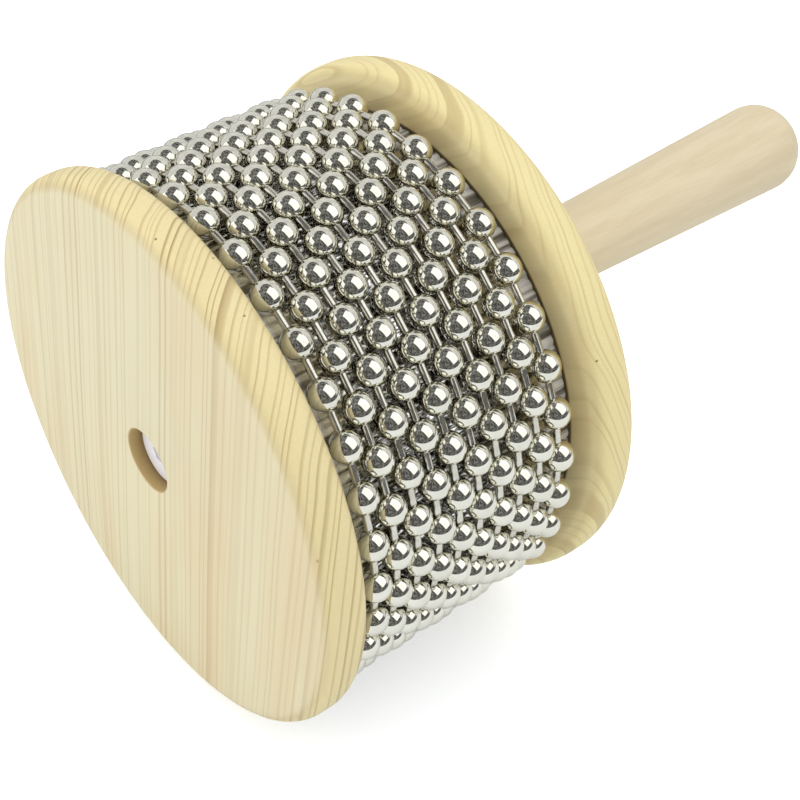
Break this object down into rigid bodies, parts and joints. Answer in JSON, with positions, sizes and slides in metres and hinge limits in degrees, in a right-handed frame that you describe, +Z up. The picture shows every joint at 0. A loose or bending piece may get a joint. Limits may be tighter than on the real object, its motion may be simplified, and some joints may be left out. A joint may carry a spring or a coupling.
{
  "type": "hand cabasa",
  "caption": "Hand percussion instrument: loops of steel ball chain turn on a ribbed steel sleeve between two wooden discs, with a turned wooden handle on the axis.",
  "frame": {"origin": "on the floor, under the middle of the overall length, as the instrument lies on its side", "axes": "+X along the drum axis from the front disc to the free end of the handle, +Z up"},
  "size_m": [0.1852, 0.116, 0.116],
  "materials": {
    "front_pine": "sanded pine, pale",
    "rear_pine": "sanded pine, yellower",
    "core_wood": "sawn",
    "handle_beech": "turned and sanded",
    "sleeve_steel": "bright ribbed sheet",
    "chain_steel": "polished",
    "bolt_steel": "bright plated",
    "insert_brass": "plain"
  },
  "bodies": {
    "drum": {"front_disc": "front_pine", "rear_disc": "rear_pine", "drum_core": "core_wood", "handle": "handle_beech", "steel_sleeve": "sleeve_steel", "through_bolt": "bolt_steel", "bolt_washer": "bolt_steel", "handle_insert": "insert_brass"},
    "bead_loop_01": {"beads_01": "chain_steel", "pins_01": "chain_steel"},
    "bead_loop_02": {"beads_02": "chain_steel", "pins_02": "chain_steel"},
    "bead_loop_03": {"beads_03": "chain_steel", "pins_03": "chain_steel"},
    "bead_loop_04": {"beads_04": "chain_steel", "pins_04": "chain_steel"},
    "bead_loop_05": {"beads_05": "chain_steel", "pins_05": "chain_steel"},
    "bead_loop_06": {"beads_06": "chain_steel", "pins_06": "chain_steel"},
    "bead_loop_07": {"beads_07": "chain_steel", "pins_07": "chain_steel"},
    "bead_loop_08": {"beads_08": "chain_steel", "pins_08": "chain_steel"},
    "bead_loop_09": {"beads_09": "chain_steel", "pins_09": "chain_steel"},
    "bead_loop_10": {"beads_10": "chain_steel", "pins_10": "chain_steel"}
  },
  "joints": [
    {"name": "loop_01_turn", "type": "hinge", "parent": "drum", "child": "bead_loop_01", "pos_m": [0, 0, 0.058], "axis": [1, 0, 0], "continuous": true},
    {"name": "loop_02_turn", "type": "hinge", "parent": "drum", "child": "bead_loop_02", "pos_m": [0, 0, 0.058], "axis": [1, 0, 0], "continuous": true},
    {"name": "loop_03_turn", "type": "hinge", "parent": "drum", "child": "bead_loop_03", "pos_m": [0, 0, 0.058], "axis": [1, 0, 0], "continuous": true},
    {"name": "loop_04_turn", "type": "hinge", "parent": "drum", "child": "bead_loop_04", "pos_m": [0, 0, 0.058], "axis": [1, 0, 0], "continuous": true},
    {"name": "loop_05_turn", "type": "hinge", "parent": "drum", "child": "bead_loop_05", "pos_m": [0, 0, 0.058], "axis": [1, 0, 0], "continuous": true},
    {"name": "loop_06_turn", "type": "hinge", "parent": "drum", "child": "bead_loop_06", "pos_m": [0, 0, 0.058], "axis": [1, 0, 0], "continuous": true},
    {"name": "loop_07_turn", "type": "hinge", "parent": "drum", "child": "bead_loop_07", "pos_m": [0, 0, 0.058], "axis": [1, 0, 0], "continuous": true},
    {"name": "loop_08_turn", "type": "hinge", "parent": "drum", "child": "bead_loop_08", "pos_m": [0, 0, 0.058], "axis": [1, 0, 0], "continuous": true},
    {"name": "loop_09_turn", "type": "hinge", "parent": "drum", "child": "bead_loop_09", "pos_m": [0, 0, 0.058], "axis": [1, 0, 0], "continuous": true},
    {"name": "loop_10_turn", "type": "hinge", "parent": "drum", "child": "bead_loop_10", "pos_m": [0, 0, 0.058], "axis": [1, 0, 0], "continuous": true}
  ],
  "couplings": [
    {"joint": "loop_02_turn", "follows": "loop_01_turn", "ratio": 1},
    {"joint": "loop_03_turn", "follows": "loop_01_turn", "ratio": 1},
    {"joint": "loop_04_turn", "follows": "loop_01_turn", "ratio": 1},
    {"joint": "loop_05_turn", "follows": "loop_01_turn", "ratio": 1},
    {"joint": "loop_06_turn", "follows": "loop_01_turn", "ratio": 1},
    {"joint": "loop_07_turn", "follows": "loop_01_turn", "ratio": 1},
    {"joint": "loop_08_turn", "follows": "loop_01_turn", "ratio": 1},
    {"joint": "loop_09_turn", "follows": "loop_01_turn", "ratio": 1},
    {"joint": "loop_10_turn", "follows": "loop_01_turn", "ratio": 1}
  ]
}
